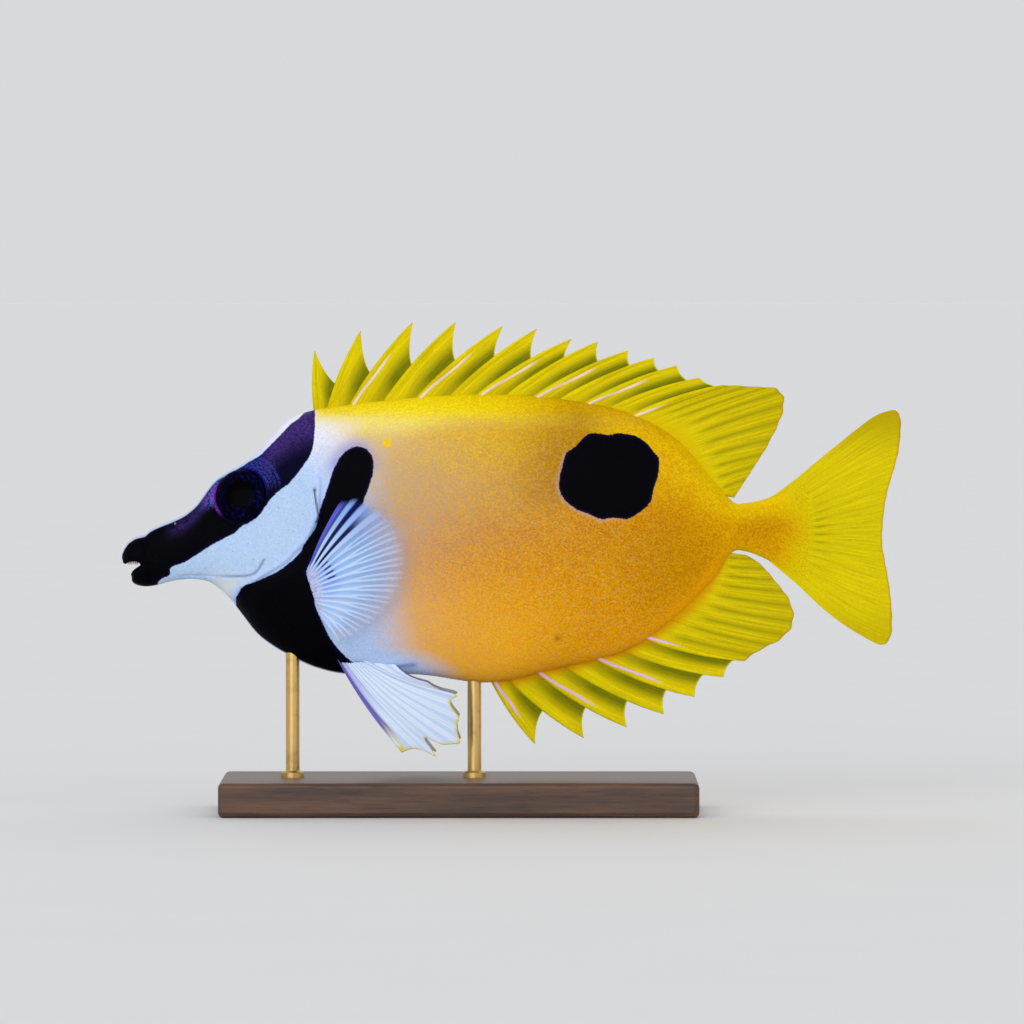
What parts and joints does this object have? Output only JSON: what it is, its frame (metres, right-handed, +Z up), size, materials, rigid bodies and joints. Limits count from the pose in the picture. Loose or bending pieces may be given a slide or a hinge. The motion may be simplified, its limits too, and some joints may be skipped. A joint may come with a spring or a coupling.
{
  "type": "blotched foxface model",
  "caption": "Still, life-size rabbitfish model: long-snouted masked head, deep slab-sided body with a flank blotch, spiny back and belly fins, on a plain rod stand.",
  "frame": {"origin": "bottom centre of the bounding box: on the floor under the middle of the fish's length, on its mid-plane", "axes": "-X is the way the fish faces, +X is towards its tail, +Y is its right side, +Z is up"},
  "size_m": [0.18, 0.05, 0.1131],
  "materials": {
    "masked_head": "black mask on white, satin",
    "golden_flank": "fine-grained golden orange skin, satin",
    "amber_tail_base": "amber skin, satin",
    "yellow_fin": "bright yellow, satin",
    "pearl_fin": "pale bluish white, satin",
    "dark_eye": "glossy near-black",
    "dark_wood": "stained, satin",
    "brass": "brushed"
  },
  "bodies": {
    "root": {"head": "masked_head", "torso": "golden_flank", "tail_base": "amber_tail_base", "tail_fin": "yellow_fin", "dorsal_fin_spines": "yellow_fin", "dorsal_fin_rays": "yellow_fin", "anal_fin_spines": "yellow_fin", "anal_fin_rays": "yellow_fin", "pectoral_fin_left": "pearl_fin", "pectoral_fin_right": "pearl_fin", "pelvic_fin_left": "pearl_fin", "pelvic_fin_right": "pearl_fin", "eye_left": "dark_eye", "eye_right": "dark_eye", "stand_base": "dark_wood", "stand_rod_front": "brass", "stand_rod_rear": "brass"}
  },
  "joints": []
}
